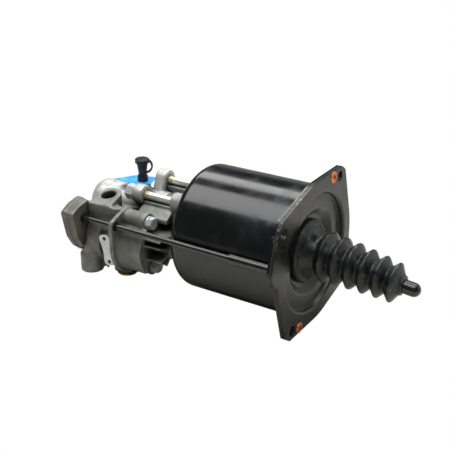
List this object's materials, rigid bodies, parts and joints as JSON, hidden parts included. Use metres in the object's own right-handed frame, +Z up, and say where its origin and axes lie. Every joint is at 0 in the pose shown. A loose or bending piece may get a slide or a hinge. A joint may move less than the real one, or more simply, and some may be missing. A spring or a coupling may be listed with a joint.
{
  "type": "clutch servo",
  "caption": "Flanged air can with a booted pushrod, bolted to a cast hydraulic cylinder with a relay valve, end cover, vent and bleed screw.",
  "frame": {"origin": "centre of the mounting hole circle, on the outer face of the front cover's flange", "axes": "+X along the cylinder axis, out of the cover on the pushrod's side; +Z up, towards the bleed screw; +Y completes the right-handed frame, away from the relay valve"},
  "size_m": [0.3356, 0.1447, 0.1318],
  "materials": {
    "cover_black_paint": "semi-gloss",
    "gasket_fibre": "matte",
    "can_black_paint": "gloss",
    "rivet_copper": "satin",
    "rod_steel": "ground",
    "cap_black_plastic": "gloss",
    "boot_rubber": "matte, dusty",
    "piston_aluminium": "turned",
    "seal_rubber": "matte",
    "guide_plastic": "matte",
    "retainer_steel": "satin",
    "plunger_steel": "ground",
    "spring_steel": "satin",
    "cast_aluminium": "as cast, matte",
    "zinc_steel": "bright zinc",
    "plug_yellow": "matte",
    "seat_brass": "turned",
    "tube_black": "gloss",
    "tag_aluminium": "satin",
    "vent_plastic": "satin",
    "vent_brass": "satin",
    "film_blue": "satin"
  },
  "bodies": {
    "servo": {"front_cover": "cover_black_paint", "front_gasket": "gasket_fibre", "cylinder_can": "can_black_paint", "flange_rivets": "rivet_copper", "boot": "boot_rubber", "plunger_seals": "seal_rubber", "seal_gland": "retainer_steel", "preload_spring": "spring_steel", "can_gasket": "gasket_fibre", "relay_housing": "cast_aluminium", "joint_gasket": "gasket_fibre", "servo_body": "cast_aluminium", "tie_studs": "zinc_steel", "stud_nuts": "zinc_steel", "stud_washers": "zinc_steel", "housing_bolts": "zinc_steel", "bolt_washers": "zinc_steel", "end_cover": "cast_aluminium", "end_cover_gasket": "gasket_fibre", "end_cover_screws": "zinc_steel", "port_plug": "plug_yellow", "relay_spring": "spring_steel", "valve_seat": "seat_brass", "valve_guide": "seat_brass", "valve_spring": "spring_steel", "breather_tube": "tube_black", "tube_sleeve": "tube_black", "tube_seal": "seal_rubber", "tube_grommet": "seal_rubber", "tag_plate": "tag_aluminium", "tag_rivets": "rod_steel", "exhaust_vent": "vent_plastic", "vent_ring": "vent_brass", "vent_flap": "seal_rubber", "protective_film": "film_blue"},
    "piston": {"air_piston": "piston_aluminium", "piston_lip_seal": "seal_rubber", "piston_guide_ring": "guide_plastic", "ball_retainer": "retainer_steel", "hydraulic_plunger": "plunger_steel"},
    "pushrod": {"pushrod": "rod_steel", "pushrod_cap": "cap_black_plastic"},
    "relay": {"relay_piston": "piston_aluminium", "relay_piston_seal": "seal_rubber"},
    "inlet": {"inlet_valve": "seat_brass"},
    "bleeder": {"bleeder_screw": "zinc_steel", "bleeder_cap": "cap_black_plastic"}
  },
  "joints": [
    {"name": "piston_slide", "type": "slide", "parent": "servo", "child": "piston", "axis": [1, 0, 0], "range_m": [-0.05, 0], "stiffness_N_per_m": 1500, "springref_m": 0.02, "deforming": ["preload_spring", "boot"]},
    {"name": "rod_swivel", "type": "hinge", "parent": "piston", "child": "pushrod", "pos_m": [-0.012, 0, 0], "axis": [0, 1, 0], "range_deg": [-8, 0], "deforming": ["boot"]},
    {"name": "relay_slide", "type": "slide", "parent": "servo", "child": "relay", "axis": [1, 0, 0], "range_m": [-0.003, 0], "stiffness_N_per_m": 4000, "springref_m": 0.0005, "deforming": ["relay_spring"]},
    {"name": "inlet_valve_slide", "type": "slide", "parent": "servo", "child": "inlet", "axis": [1, 0, 0], "range_m": [-0.0015, 0], "deforming": ["valve_spring"]},
    {"name": "bleeder_turn", "type": "hinge", "parent": "servo", "child": "bleeder", "pos_m": [-0.186, 0, 0.03], "axis": [0, 0, 1], "range_deg": [0, 270]}
  ],
  "couplings": [
    {"joint": "inlet_valve_slide", "follows": "relay_slide", "ratio": 0.5}
  ]
}
